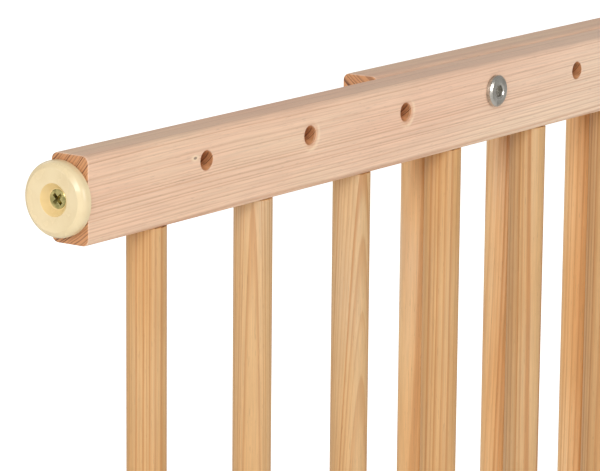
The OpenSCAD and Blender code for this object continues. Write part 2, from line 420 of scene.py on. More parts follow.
def makePine(name, look, marks=(), flecks=()):
    material, tree, shader = newMaterial(name)
    coordinates = addNode(tree, "ShaderNodeTexCoord").outputs
    place = coordinates["Object"]
    pith = addNode(tree, "ShaderNodeAttribute", attribute_name="pithPoint").outputs["Vector"]
    lean = addNode(tree, "ShaderNodeAttribute", attribute_name="grainLean").outputs["Vector"]
    tone = addNode(tree, "ShaderNodeAttribute", attribute_name="grainTone").outputs["Fac"]
    wall = addNode(tree, "ShaderNodeAttribute", attribute_name="cutWall").outputs["Fac"]
    offPith = vectorCalc(tree, "SUBTRACT", place, pith)
    fromPith = addNode(tree, "ShaderNodeSeparateXYZ", {0: offPith}).outputs
    acrossOne, acrossTwo, along = (fromPith[axis] for axis in look["order"])
    leaning = addNode(tree, "ShaderNodeSeparateXYZ", {0: lean}).outputs
    grainPlace = addNode(tree, "ShaderNodeCombineXYZ", {
        0: calc(tree, "MULTIPLY_ADD", along, leaning[0], acrossOne),
        1: calc(tree, "MULTIPLY_ADD", along, leaning[1], acrossTwo),
        2: along,
    }).outputs[0]
    grain = useGroup(tree, pineGrain, {
        "Position": grainPlace, "Ring Gap": leaning[2], "Waver": look["waver"],
    })
    # long faces: early wood, late wood, and broad warm and pale patches
    base = blendColour(tree, ramp(tree, grain["Cloud"], 0.42, 0.70), look["early"], look["warm"])
    base = blendColour(tree, ramp(tree, grain["Cloud"], 0.48, 0.30, 0.0, 1.0), base, look["pale"])
    # the colour turns paler towards the far end of the board, away from the end where its pith point lies
    far = ramp(tree, along, 0.02, 0.50, 0.0, look["farShare"])
    base = blendColour(tree, far, base, look["far"])
    ringShare = calc(tree, "MULTIPLY", grain["Ring"], look["ringShare"])
    face = blendColour(tree, ringShare, base, look["late"])
    fine = ramp(tree, grain["Fibre"], 0.25, 0.75, 0.90, 1.06)
    fine = calc(tree, "MULTIPLY", fine, calc(tree, "MULTIPLY_ADD", grain["Fleck"], -0.16, 1.0))
    # the tone is partly painted light: it brightens the back slats to offset the front panel's shade
    fine = calc(tree, "MULTIPLY", fine, tone)
    face = blendColour(tree, 1.0, face, tintNodes(tree, fine), "MULTIPLY")
    # end grain and the walls of bores
    endRing = calc(tree, "MULTIPLY", grain["Ring"], ramp(tree, grain["Cloud"], 0.34, 0.56, 0.75, 1.3))
    end = blendColour(tree, endRing, look["endEarly"], look["endLate"])
    end = blendColour(tree, ramp(tree, grain["Fibre"], 0.55, 0.75, 0.0, 0.35), end, look["endLate"])
    facing = addNode(tree, "ShaderNodeSeparateXYZ", {0: coordinates["Normal"]}).outputs
    endMask = ramp(tree, calc(tree, "ABSOLUTE", facing[look["order"][2]]), 0.55, 0.92)
    cutFace = blendColour(tree, calc(tree, "MULTIPLY", ringShare, 0.35), look["cut"], look["endLate"])
    face = blendColour(tree, calc(tree, "MULTIPLY", wall, 0.85), face, cutFace)
    face = blendColour(tree, endMask, face, end)
    for centre in marks:
        mark = useGroup(tree, boltMark, {"Position": place, "Centre": centre})
        face = blendColour(tree, calc(tree, "MULTIPLY", mark["Inside"], 0.55), face, look["bruised"])
        # the print ring is real pressed wood, and its pale lower right is a painted highlight where the
        # dent catches the light
        face = blendColour(tree, calc(tree, "MULTIPLY", mark["Mark"], 0.65), face, look["pressed"])
    for centre in flecks:
        fleck = useGroup(tree, woodFleck, {"Position": place, "Centre": centre})
        face = blendColour(tree, calc(tree, "MULTIPLY", fleck["Halo"], 0.7), face, look["pressed"])
        face = blendColour(tree, calc(tree, "MULTIPLY", fleck["Core"], 0.75), face, look["speck"])
    tree.links.new(face, shader.inputs["Base Color"])
    rough = ramp(tree, grain["Fibre"], 0.2, 0.8, 0.42, 0.56)
    rough = calc(tree, "MULTIPLY_ADD", endMask, 0.2, rough)
    tree.links.new(rough, shader.inputs["Roughness"])
    shader.inputs["Coat Weight"].default_value = 0.12
    shader.inputs["Coat Roughness"].default_value = 0.3
    height = calc(tree, "MULTIPLY_ADD", grain["Ring"], 0.5, calc(tree, "MULTIPLY", grain["Fibre"], 0.7))
    bump = addNode(tree, "ShaderNodeBump", {"Height": height, "Strength": 0.25, "Distance": 0.12 * mm})
    tree.links.new(bump.outputs[0], shader.inputs["Normal"])
    return material


def holeMouth(number):
    # where a hole of the front top rail opens to the front
    return Vector((firstHoleX["front"] + (number - 1) * slatStep, railLow.y, holeZ["top"]))


railTraces = {
    "printedHoles": (2, 3),
    "fleckFromFirstHole": Vector((-7.5 * mm, 0, 2 * mm)),
}
printPlaces = [holeMouth(number) for number in railTraces["printedHoles"]]
fleckPlaces = [holeMouth(1) + railTraces["fleckFromFirstHole"]]
materials = {
    "railPine": makePine("railPine", railPineLook, printPlaces, fleckPlaces),
    "slatPine": makePine("slatPine", slatPineLook),
}
print("pine is mixed")


# Plating and moulded plastic

def makePlatingWear():
    inputs = [("Position", "NodeSocketVector", None), ("Patch Size", "NodeSocketFloat", 4 * mm)]
    outputs = [("Patch", "NodeSocketFloat"), ("Scratch", "NodeSocketFloat")]
    group, given, out = newGroup("platingWear", "ShaderNodeTree", inputs, outputs)
    sized = vectorCalc(group, "SCALE", given["Position"], calc(group, "DIVIDE", 1.0, given["Patch Size"]))
    group.links.new(ramp(group, noise(group, sized, (1, 1, 1), 3.0)["Fac"], 0.3, 0.7), out["Patch"])
    one = noise(group, given["Position"], (5200, 260, 5200), 1.0)["Fac"]
    two = noise(group, given["Position"], (260, 5200, 2600), 1.0)["Fac"]
    group.links.new(ramp(group, calc(group, "MAXIMUM", one, two), 0.60, 0.78), out["Scratch"])
    return group


platingWear = makePlatingWear()

metalLooks = {
    "yellowZinc": {"light": (0.62, 0.52, 0.22, 1), "dark": (0.26, 0.24, 0.10, 1), "rough": (0.24, 0.42)},
    "nickel": {"light": (0.62, 0.60, 0.56, 1), "dark": (0.44, 0.42, 0.38, 1), "rough": (0.18, 0.32)},
    "clearZinc": {"light": (0.66, 0.68, 0.70, 1), "dark": (0.46, 0.47, 0.50, 1), "rough": (0.28, 0.45)},
}


def makeMetal(name, look):
    material, tree, shader = newMaterial(name)
    place = addNode(tree, "ShaderNodeTexCoord").outputs["Object"]
    wear = useGroup(tree, platingWear, {"Position": place, "Patch Size": 3 * mm})
    tint = blendColour(tree, wear["Patch"], look["light"], look["dark"])
    tint = blendColour(tree, calc(tree, "MULTIPLY", wear["Scratch"], 0.35), tint, look["light"])
    tree.links.new(tint, shader.inputs["Base Color"])
    low, high = look["rough"]
    tree.links.new(ramp(tree, wear["Patch"], 0.0, 1.0, low, high), shader.inputs["Roughness"])
    shader.inputs["Metallic"].default_value = 1.0
    relief = {"Height": wear["Scratch"], "Strength": 0.15, "Distance": 0.02 * mm}
    bump = addNode(tree, "ShaderNodeBump", relief)
    tree.links.new(bump.outputs[0], shader.inputs["Normal"])
    return material


creamLook = {
    "light": colour(231, 211, 170),
    "dark": colour(225, 203, 160),
    # painted glow: a golden tint for the dish, standing in for light that shines through the thin plastic
    "recess": colour(238, 202, 126),
    "rough": (0.20, 0.32),
}


def makeCream(look):
    material, tree, shader = newMaterial("creamPlastic")
    place = addNode(tree, "ShaderNodeTexCoord").outputs["Object"]
    cloud = noise(tree, place, (90, 90, 90), 3.0)["Fac"]
    skin = noise(tree, place, (2400, 2400, 2400), 2.0)["Fac"]
    tint = blendColour(tree, ramp(tree, cloud, 0.35, 0.7), look["light"], look["dark"])
    # painted glow: the dish is tinted golden where light would shine through the thin plastic
    recess = addNode(tree, "ShaderNodeAttribute", attribute_name="recess").outputs["Fac"]
    tint = blendColour(tree, calc(tree, "MULTIPLY", recess, 0.6), tint, look["recess"])
    tree.links.new(tint, shader.inputs["Base Color"])
    low, high = look["rough"]
    tree.links.new(ramp(tree, cloud, 0.3, 0.7, low, high), shader.inputs["Roughness"])
    bump = addNode(tree, "ShaderNodeBump", {"Height": skin, "Strength": 0.12, "Distance": 0.05 * mm})
    tree.links.new(bump.outputs[0], shader.inputs["Normal"])
    return material


for metalName, metalLook in metalLooks.items():
    materials[metalName] = makeMetal(metalName, metalLook)
materials["creamPlastic"] = makeCream(creamLook)
print("metal and plastic are mixed")


# Mesh helpers

def newObject(name, shape, material=None):
    mesh = bpy.data.meshes.new(name)
    bmesh.ops.recalc_face_normals(shape, faces=shape.faces)
    shape.to_mesh(mesh)
    shape.free()
    piece = bpy.data.objects.new(name, mesh)
    scene.collection.objects.link(piece)
    if material:
        mesh.materials.append(materials[material])
    return piece


def arc(centre, radius, start, stop, steps):
    # points on an arc, with its angles in degrees
    points = []
    for i in range(steps + 1):
        angle = math.radians(start + (stop - start) * i / steps)
        points.append((centre[0] + radius * math.cos(angle), centre[1] + radius * math.sin(angle)))
    return points


def lathe(profile, count, closed=False):
    # turns (radius, height) points round the Z axis
    shape = bmesh.new()
    step = math.tau / count
    rings = []
    for radius, height in profile:
        # a point on the axis makes one vertex
        places = range(count) if radius > 1e-7 else range(1)
        ring = [(radius * math.cos(i * step), radius * math.sin(i * step), height) for i in places]
        rings.append([shape.verts.new(point) for point in ring])
    pairs = list(zip(rings, rings[1:]))
    if closed:
        pairs.append((rings[-1], rings[0]))
    for lower, upper in pairs:
        for i in range(count):
            j = (i + 1) % count
            corners = [ring[k % len(ring)] for ring, k in ((lower, i), (lower, j), (upper, j), (upper, i))]
            shape.faces.new(list(dict.fromkeys(corners)))
    return shape


def loft(rings):
    # skins a row of equal rings and caps both ends
    shape = bmesh.new()
    rows = [[shape.verts.new(point) for point in ring] for ring in rings]
    count = len(rows[0])
    for lower, upper in zip(rows, rows[1:]):
        for i in range(count):
            j = (i + 1) % count
            shape.faces.new((lower[i], lower[j], upper[j], upper[i]))
    shape.faces.new(list(reversed(rows[0])))
    shape.faces.new(rows[-1])
    return shape


def settle(piece):
    # turns a piece with its modifiers into a plain mesh
    bpy.context.view_layer.update()
    solid = bpy.data.meshes.new_from_object(piece.evaluated_get(bpy.context.evaluated_depsgraph_get()))
    solid.name = piece.name
    piece.modifiers.clear()
    piece.data = solid
    return piece


def smooth(piece, angle=35, weighted=False):
    # rounds the shading except at edges sharper than the angle
    shape = bmesh.new()
    shape.from_mesh(piece.data)
    for face in shape.faces:
        face.smooth = True
    for edge in shape.edges:
        edge.smooth = len(edge.link_faces) == 2 and edge.calc_face_angle(0) < math.radians(angle)
    shape.to_mesh(piece.data)
    shape.free()
    if weighted:
        modifier = piece.modifiers.new("weighted", "WEIGHTED_NORMAL")
        modifier.keep_sharp = True
        settle(piece)
    return piece


def cut(piece, *cutters, operation="DIFFERENCE"):
    for cutter in cutters:
        modifier = piece.modifiers.new("cut", "BOOLEAN")
        modifier.operation = operation
        modifier.solver = "EXACT"
        modifier.object = cutter
    settle(piece)
    for cutter in cutters:
        bpy.data.objects.remove(cutter)
    return piece


def aim(piece, place, direction):
    # moves a piece drawn along +Z so that it starts at a place and points along a direction
    turn = Vector((0, 0, 1)).rotation_difference(Vector(direction)).to_matrix().to_4x4()
    piece.data.transform(Matrix.Translation(place) @ turn)
    return piece


def fit(piece, body, nodes):
    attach(piece, body)
    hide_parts(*nodes)


def copyPiece(piece, name):
    twin = bpy.data.objects.new(name, piece.data.copy())
    scene.collection.objects.link(twin)
    return twin


def setInputs(modifier, values):
    for item in modifier.node_group.interface.items_tree:
        if item.item_type == "SOCKET" and item.in_out == "INPUT" and item.name in values:
            modifier[item.identifier] = values[item.name]


def realizeAndPaint(group, geometry, material, end):
    whole = addNode(group, "GeometryNodeRealizeInstances", {0: geometry})
    inputs = {"Geometry": whole.outputs[0], "Material": material}
    painted = addNode(group, "GeometryNodeSetMaterial", inputs)
    group.links.new(painted.outputs[0], end)


# Geometry Nodes: a row of equal bores, cut from a board

def makeBoreRow():
    inputs = [
        ("Board", "NodeSocketGeometry", None),
        ("Cutter", "NodeSocketObject", None),
        ("First", "NodeSocketVector", None),
        ("Step", "NodeSocketVector", None),
        ("Count", "NodeSocketInt", 1),
        ("Material", "NodeSocketMaterial", None),
    ]
    group, given, out = newGroup("boreRow", "GeometryNodeTree", inputs, [("Board", "NodeSocketGeometry")])
    line = addNode(group, "GeometryNodeMeshLine", {
        "Count": given["Count"], "Start Location": given["First"], "Offset": given["Step"],
    }, mode="OFFSET")
    tool = addNode(group, "GeometryNodeObjectInfo", {"Object": given["Cutter"], "As Instance": True})
    tools = addNode(group, "GeometryNodeInstanceOnPoints", {
        "Points": line.outputs[0], "Instance": tool.outputs["Geometry"],
    })
    plain = addNode(group, "GeometryNodeRealizeInstances", {0: tools.outputs[0]})
    bored = addNode(group, "GeometryNodeMeshBoolean", {
        0: given["Board"], 1: plain.outputs[0],
    }, operation="DIFFERENCE", solver="EXACT")
    realizeAndPaint(group, bored.outputs[0], given["Material"], out["Board"])
    return group


# Geometry Nodes: a slat on every point of a carrier, which hands each slat its grain

def makeSlatRow():
    inputs = [
        ("Places", "NodeSocketGeometry", None),
        ("Slat", "NodeSocketObject", None),
        ("Turn Seed", "NodeSocketInt", 7),
        ("Material", "NodeSocketMaterial", None),
    ]
    group, given, out = newGroup("slatRow", "GeometryNodeTree", inputs, [("Slats", "NodeSocketGeometry")])
    turn = addNode(group, "FunctionNodeRandomValue", {
        "Min": (0, 0, 0), "Max": (0, 0, math.tau), "Seed": given["Turn Seed"],
    }, data_type="FLOAT_VECTOR")
    blank = addNode(group, "GeometryNodeObjectInfo", {"Object": given["Slat"], "As Instance": True})
    slats = addNode(group, "GeometryNodeInstanceOnPoints", {
        "Points": given["Places"], "Instance": blank.outputs["Geometry"], "Rotation": turn.outputs[0],
    })
    realizeAndPaint(group, slats.outputs[0], given["Material"], out["Slats"])
    return group


# Geometry Nodes: presses a screw thread into a plain shank round the Z axis

def makeThreadPress():
    inputs = [
        ("Shank", "NodeSocketGeometry", None),
        ("Pitch", "NodeSocketFloat", 0.001),
        ("Depth", "NodeSocketFloat", 0.0005),
        ("Root Share", "NodeSocketFloat", 0.1),
        ("From", "NodeSocketFloat", 0.0),
        ("To", "NodeSocketFloat", 0.02),
        ("Material", "NodeSocketMaterial", None),
    ]
    outputs = [("Shank", "NodeSocketGeometry")]
    group, given, out = newGroup("threadPress", "GeometryNodeTree", inputs, outputs)
    place = addNode(group, "GeometryNodeInputPosition").outputs[0]
    parts = addNode(group, "ShaderNodeSeparateXYZ", {0: place}).outputs
    turn = calc(group, "DIVIDE", calc(group, "ARCTAN2", parts[1], parts[0]), math.tau)
    turns = calc(group, "DIVIDE", parts[2], given["Pitch"])
    share = calc(group, "FRACT", calc(group, "SUBTRACT", turns, turn))
    # 0 in the middle of the root and 1 on the crest, whose flat starts at the crest share
    wave = calc(group, "ABSOLUTE", calc(group, "MULTIPLY_ADD", share, 2.0, -1.0))
    crestShare = 0.92
    valley = ramp(group, wave, given["Root Share"], crestShare, 1.0, 0.0, "LINEAR")
    pastStart = calc(group, "SUBTRACT", parts[2], given["From"])
    beforeEnd = calc(group, "SUBTRACT", given["To"], parts[2])
    fadeIn = ramp(group, pastStart, 0.0, given["Pitch"], 0.0, 1.0, "LINEAR")
    fadeOut = ramp(group, beforeEnd, 0.0, given["Pitch"], 0.0, 1.0, "LINEAR")
    fade = calc(group, "MULTIPLY", fadeIn, fadeOut)
    depth = calc(group, "MULTIPLY", calc(group, "MULTIPLY", valley, given["Depth"]), fade)
    outward = vectorCalc(group, "NORMALIZE", vectorCalc(group, "MULTIPLY", place, (1, 1, 0)))
    offset = vectorCalc(group, "SCALE", outward, calc(group, "MULTIPLY", depth, -1.0))
    pressed = addNode(group, "GeometryNodeSetPosition", {"Geometry": given["Shank"], "Offset": offset})
    realizeAndPaint(group, pressed.outputs[0], given["Material"], out["Shank"])
    return group


boreRow = makeBoreRow()
slatRow = makeSlatRow()
threadPress = makeThreadPress()


# Rails

railBoard = {
    "edgeRadius": 3 * mm,
    "endRadius": 0.7 * mm,
    "holeRadius": 4 * mm,
    "rimRadius": 0.45 * mm,
    "tenonRadius": 6 * mm,
    "pilotRadius": 2 * mm,
    "pocketRadius": 4.3 * mm,
    "pocketSpare": 2 * mm,  # room past the inner end of the spindle
    "overcut": 2 * mm,  # how far a cutter stands out of the wood
    "skin": 0.9 * mm,  # faces deeper than this are cut walls
    # rail: (pith from the rail's left end: along, back and up; lean back and up per metre; ring gap; tone)
    "grain": {
        "front_top_rail": ((0.0, 50 * mm, 60 * mm), (0.006, -0.010, 1.15 * mm), 0.985),
        "front_bottom_rail": ((0.1, -58 * mm, 50 * mm), (-0.012, 0.010, 2.1 * mm), 0.97),
        "back_top_rail": ((0.2, -50 * mm, 72 * mm), (0.014, 0.012, 1.9 * mm), 0.98),
        "back_bottom_rail": ((0.0, 44 * mm, -66 * mm), (0.009, -0.016, 2.0 * mm), 1.0),
    },
}


def roundedOutline(width, height, radius, steps=6):
    outline = []
    for signX, signY, start in ((1, 1, 0), (-1, 1, 90), (-1, -1, 180), (1, -1, 270)):
        centre = (signX * (width / 2 - radius), signY * (height / 2 - radius))
        outline += arc(centre, radius, start, start + 90, steps)
    return outline


def railBlank(name, look):
    low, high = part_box(name)
    centre = (low + high) / 2
    rings = []
    for end, sign in ((low.x, 1), (high.x, -1)):
        stack = []
        for across, into in arc((0, 0), look["endRadius"], 90, 0, 4):
            shrink = look["endRadius"] - across
            back = look["endRadius"] - into
            outline = roundedOutline(
                high.y - low.y - 2 * shrink, high.z - low.z - 2 * shrink, look["edgeRadius"] - shrink,
            )
            stack.append([(end + sign * back, centre.y + y, centre.z + z) for y, z in outline])
        stack.sort(key=lambda ring: sign * ring[0][0])
        rings += stack if sign > 0 else list(reversed(stack))
    return newObject(name.replace("_rail", "_rail_wood"), loft(rings), "railPine")


def boreCutter(look, half):
    # a bore through a board of that half thickness, with rounded rims
    radius, rim, over = look["holeRadius"], look["rimRadius"], look["overcut"]
    mouth = radius + rim * 1.4
    profile = [(0, -half - over), (mouth, -half - over)]
    profile += arc((radius + rim, -half + rim), rim, 262, 180, 5)
    profile += [(r, -h) for r, h in reversed(profile[2:])]
    profile += [(mouth, half + over), (0, half + over)]
    return newObject("boreCutter", lathe(profile, 40))


def plugCutter(radius, length):
    return newObject("plugCutter", lathe([(0, 0), (radius, 0), (radius, length), (0, length)], 36))


def drill(board, cutter, first, step, count):
    modifier = board.modifiers.new("bores", "NODES")
    modifier.node_group = boreRow
    setInputs(modifier, {
        "Cutter": cutter, "First": first, "Step": step, "Count": count, "Material": materials["railPine"],
    })
    settle(board)
    bpy.data.objects.remove(cutter)


def setAttribute(mesh, name, kind, values, domain="POINT"):
    attribute = mesh.attributes.new(name, kind, domain)
    attribute.data.foreach_set("vector" if kind == "FLOAT_VECTOR" else "value", values)


def makeRail(panel, row, look):
    node = f"{panel}_{row}_rail"
    low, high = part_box(node)
    board = railBlank(node, look)
    half = (high.y - low.y) / 2
    midY = (low.y + high.y) / 2
    cutter = boreCutter(look, half)
    aim(cutter, (0, 0, 0), (0, 1, 0))
    drill(board, cutter, (firstHoleX[panel], midY, holeZ[row]), (slatStep, 0, 0), holeCount)
    slatLow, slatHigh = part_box(f"{panel}_slat_1")
    slatX = slatLow.x / 2 + slatHigh.x / 2
    over = look["overcut"]
    if row == "top":
        socket = plugCutter(look["tenonRadius"], slatHigh.z - low.z + over)
        start = (slatX, midY, low.z - over)
    else:
        socket = plugCutter(look["tenonRadius"], high.z - slatLow.z + over)
        start = (slatX, midY, slatLow.z)
    drill(board, socket, start, (slatStep, 0, 0), slatCount)
    if panel == "front":
        screwLow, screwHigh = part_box(row + "_left_pad_screw")
        pilot = plugCutter(look["pilotRadius"], screwHigh.x - low.x + over)
        aim(pilot, (0, 0, 0), (1, 0, 0))
        start = (low.x - over, (screwLow.y + screwHigh.y) / 2, (low.z + high.z) / 2)
    else:
        spindleLow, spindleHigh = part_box(row + "_spindle")
        pilot = plugCutter(look["pocketRadius"], high.x - spindleLow.x + look["pocketSpare"] + over)
        aim(pilot, (0, 0, 0), (-1, 0, 0))
        start = (high.x + over, midY, (low.z + high.z) / 2)
    drill(board, pilot, start, (0, 0, 0), 1)
    smooth(board, 40, weighted=True)
    paintRail(board, node, low, high, look)
    fit(board, panel + "_panel", [node])
    return board


def paintRail(board, node, low, high, look):
    mesh = board.data
    (along, back, up), lean, tone = look["grain"][node]
    pith = Vector((low.x + along, (low.y + high.y) / 2 + back, (low.z + high.z) / 2 + up))
    count = len(mesh.vertices)
    setAttribute(mesh, "pithPoint", "FLOAT_VECTOR", list(pith) * count)
    setAttribute(mesh, "grainLean", "FLOAT_VECTOR", list(lean) * count)
    setAttribute(mesh, "grainTone", "FLOAT", [tone] * count)
    walls = []
    for face in mesh.polygons:
        x, y, z = face.center
        inside = min(x - low.x, high.x - x, y - low.y, high.y - y, z - low.z, high.z - z)
        walls.append(1.0 if inside > look["skin"] else 0.0)
    setAttribute(mesh, "cutWall", "FLOAT", walls, "FACE")


for panel in ("front", "back"):
    for row in rows:
        makeRail(panel, row, railBoard)
print("rails are planed and drilled")


# Slats

slatTurning = {
    "radius": 8 * mm,
    "tenonRadius": 6 * mm,
    "shoulderRound": 0.5 * mm,
    "tenonChamfer": 0.6 * mm,
    "seed": 11,
    # the back slats' tones above 1 are painted light: they brighten the back slats, which the front panel
    # shades
    "tonesAndPaintedLight": {"front": (0.91, 0.96), "back": (1.20, 1.27)},
    # for the first front slats: pith angle, pith distance at the foot, lean away from the pith and
    # sideways, ring gap, tone
    "frontGrain": [
        (288, 26 * mm, 0.002, 0.002, 1.6 * mm, 0.94),
        (216, 10 * mm, 0.016, 0.000, 1.4 * mm, 0.94),
        (254, 12 * mm, 0.045, 0.001, 1.4 * mm, 0.92),
    ],
}


def slatBlank(look):
    low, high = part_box("front_slat_1")
    half = (high.z - low.z) / 2
    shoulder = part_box("front_top_rail")[0].z - (low.z + high.z) / 2
    tenon, radius = look["tenonRadius"], look["radius"]
    chamfer, corner = look["tenonChamfer"], look["shoulderRound"]
    upper = [(radius, shoulder - corner)]
    upper += arc((radius - corner, shoulder - corner), corner, 20, 90, 3)
    upper += [(tenon, shoulder), (tenon, half - chamfer), (tenon - chamfer, half), (0, half)]
    profile = [(r, -h) for r, h in reversed(upper)] + upper
    return newObject("slatBlank", lathe(profile, 56))


def makeSlats(panel, blank, look):
    random.seed(look["seed"] + len(panel))
    centres = [middle(f"{panel}_slat_{i + 1}") for i in range(slatCount)]
    carrier = bpy.data.meshes.new(panel + "_slats")
    carrier.from_pydata([tuple(centre) for centre in centres], [], [])
    piths, leans, tonesAndPaintedLight = [], [], []
    for i, centre in enumerate(centres):
        angle = random.uniform(0, 360)
        distance = random.uniform(12, 40) * mm
        away, sideways = random.uniform(0.002, 0.020), random.uniform(-0.004, 0.004)
        # the back panel's higher tones are painted light against the front panel's shade
        gap, tone = random.uniform(1.5, 2.6) * mm, random.uniform(*look["tonesAndPaintedLight"][panel])
        if panel == "front" and i < len(look["frontGrain"]):
            angle, distance, away, sideways, gap, tone = look["frontGrain"][i]
        turn = math.radians(angle)
        toward = Vector((math.cos(turn), math.sin(turn), 0))
        across = Vector((-math.sin(turn), math.cos(turn), 0))
        piths += list(centre + toward * distance - Vector((0, 0, centre.z)))
        tilt = across * sideways - toward * away
        leans += [tilt.x, tilt.y, gap]
        tonesAndPaintedLight.append(tone)
    setAttribute(carrier, "pithPoint", "FLOAT_VECTOR", piths)
    setAttribute(carrier, "grainLean", "FLOAT_VECTOR", leans)
    setAttribute(carrier, "grainTone", "FLOAT", tonesAndPaintedLight)
    slats = bpy.data.objects.new(panel + "_slats", carrier)
    scene.collection.objects.link(slats)
    modifier = slats.modifiers.new("slats", "NODES")
    modifier.node_group = slatRow
    setInputs(modifier, {"Slat": blank, "Turn Seed": look["seed"], "Material": materials["slatPine"]})
    settle(slats)
    smooth(slats, 40)
    fit(slats, panel + "_panel", [f"{panel}_slat_{i + 1}" for i in range(slatCount)])


blank = slatBlank(slatTurning)
for panel in ("front", "back"):
    makeSlats(panel, blank, slatTurning)
bpy.data.objects.remove(blank)
print("slats are turned and set")


# Threads, sockets and recesses

def threadedRings(radius, start, stop, pitch):
    # the plain rings that a thread is pressed into
    count = max(2, round((stop - start) / pitch * 8))
    return [(radius, start + (stop - start) * i / count) for i in range(count + 1)]


def pressThread(piece, material, pitch, depth, start, stop, rootShare=0.08):
    modifier = piece.modifiers.new("thread", "NODES")
    modifier.node_group = threadPress
    setInputs(modifier, {
        "Pitch": pitch, "Depth": depth, "Root Share": rootShare, "From": start, "To": stop,
        "Material": materials[material],
    })
    return settle(piece)


def hexPrism(acrossFlats, low, high):
    radius = acrossFlats / 2 / math.cos(math.pi / 6)
    ring = [(radius * math.cos(i * math.pi / 3), radius * math.sin(i * math.pi / 3)) for i in range(6)]
    return newObject("hexPrism", loft([[(x, y, z) for x, y in ring] for z in (low, high)]))


# Wall pads and their screws

padMould = {
    "radius": 15.0 * mm,
    "thickness": 5.6 * mm,
    "faceRadius": 12.5 * mm,
    "flankRadius": 3.4 * mm,
    "flankTurn": 44,
    "dishRadius": 6.3 * mm,
    "dishDrop": 0.7 * mm,
    "dishEdge": 0.4 * mm,
    "headSink": 3.4 * mm,
    "headRadius": 3.9 * mm,
    "holeRadius": 2.1 * mm,
    "headHeight": 1.9 * mm,
}


def padBlank(look):
    top, flank, lip = look["thickness"], look["flankRadius"], look["dishEdge"]
    face = look["faceRadius"]
    seat = top - look["headSink"]
    profile = [(look["holeRadius"], 0), (look["radius"] - 0.5 * mm, 0), (look["radius"], 0.5 * mm)]
    profile += arc((look["radius"] - flank, top - flank), flank, 0, look["flankTurn"], 8)
    profile += [(face + 0.08 * mm, top - 0.06 * mm), (face - 0.1 * mm, top)]
    profile += arc((look["dishRadius"] + lip, top - look["dishDrop"] - lip), lip, 84, 145, 8)
    profile += [(look["headRadius"] + 0.35 * mm, seat + 0.1 * mm), (look["headRadius"] + 0.1 * mm, seat)]
    profile += [(look["holeRadius"], seat - look["headHeight"])]
    blank = newObject("padBlank", lathe(profile, 96, closed=True), "creamPlastic")
    # marks the dish and the head seat for the painted glow, a golden tint that stands in for light shining
    # through the thin plastic
    tints = []
    for vertex in blank.data.vertices:
        radius = math.hypot(vertex.co.x, vertex.co.y)
        inDish = vertex.co.z > seat - 0.1 * mm and radius < look["dishRadius"] + 0.5 * lip
        tints.append(1.0 if inDish else 0.0)
    setAttribute(blank.data, "recess", "FLOAT", tints)
    return blank


padScrew = {
    "headRadius": 3.9 * mm,
    "headHeight": 1.9 * mm,
    "shankRadius": 2.0 * mm,
    "rim": 0.25 * mm,
    "crossLength": 5.6 * mm,
    "crossWidth": 1.5 * mm,
    "crossDepth": 2.1 * mm,
    "pointRadius": 0.3 * mm,
    "taperSteps": 10,
    # the tip is below the full thread, and the neck is between it and the head
    "woodThread": {
        "pitch": 1.8 * mm, "depth": 0.55 * mm, "root": 0.45,
        "tip": 5 * mm, "lead": 0.6 * mm, "neck": 6 * mm,
    },
    "machineThread": {
        "pitch": 0.7 * mm, "depth": 0.38 * mm, "root": 0.08,
        "tip": 0.4 * mm, "lead": 0, "neck": 0.6 * mm,
    },
}


def crossCutters(look):
    cutters = []
    for turn in (45, 135):
        rings = []
        for share, height in ((0.42, -look["crossDepth"]), (1.0, 0.3 * mm)):
            x, y = look["crossLength"] / 2 * share, look["crossWidth"] / 2 * (0.6 + 0.4 * share)
            rings.append([(-x, -y, height), (x, -y, height), (x, y, height), (-x, y, height)])
        cutter = newObject("crossCutter", loft(rings))
        cutter.data.transform(Matrix.Rotation(math.radians(turn), 4, "Z"))
        cutters.append(cutter)
    return cutters


def screwBlank(look, length, pointed):
    # the head's flat face is at 0 and the point is below it
    shank, head, point = look["shankRadius"], look["headRadius"], look["pointRadius"]
    thread = look["woodThread" if pointed else "machineThread"]
    start, stop = -length + thread["tip"], -look["headHeight"] - thread["neck"]
    profile = [(0, -length)]
    if pointed:
        profile.append((point, -length + 0.1 * mm))
        for i in range(1, look["taperSteps"]):
            share = i / look["taperSteps"]
            profile.append((point + (shank - point) * share, -length + thread["tip"] * share))
    else:
        profile.append((shank - 0.4 * mm, -length))
    profile += threadedRings(shank, start, stop, thread["pitch"])
    profile += [(shank, -look["headHeight"]), (head - 0.05 * mm, -look["rim"]), (head, -look["rim"] * 0.5)]
    profile += [(head - 0.15 * mm, 0), (0, 0)]
    screw = newObject("screwBlank", lathe(profile, 36), "yellowZinc")
    low = -length + thread["lead"]
    pressThread(screw, "yellowZinc", thread["pitch"], thread["depth"], low, stop, thread["root"])
    cut(screw, *crossCutters(look))
    return smooth(screw, 38)


pad = smooth(padBlank(padMould), 12)
for side, direction in (("left", (-1, 0, 0)), ("right", (1, 0, 0))):
    screwLow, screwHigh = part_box(f"top_{side}_pad_screw")
    screw = screwBlank(padScrew, screwHigh.x - screwLow.x, side == "left")
    for row in rows:
        node = f"{row}_{side}_wall_pad"
        low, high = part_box(node)
        centre = (low + high) / 2
        backFace = high.x if side == "left" else low.x
        piece = aim(copyPiece(pad, node + "_moulding"), (backFace, centre.y, centre.z), direction)
        body = "front_panel" if side == "left" else row + "_foot"
        fit(piece, body, [node])
        node = f"{row}_{side}_pad_screw"
        low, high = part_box(node)
        centre = (low + high) / 2
        headFace = low.x if side == "left" else high.x
        piece = aim(copyPiece(screw, node + "_threaded"), (headFace, centre.y, centre.z), direction)
        fit(piece, body, [node])
    bpy.data.objects.remove(screw)
bpy.data.objects.remove(pad)
print("wall pads and their screws are fitted")


# Connecting bolts and sleeve nuts

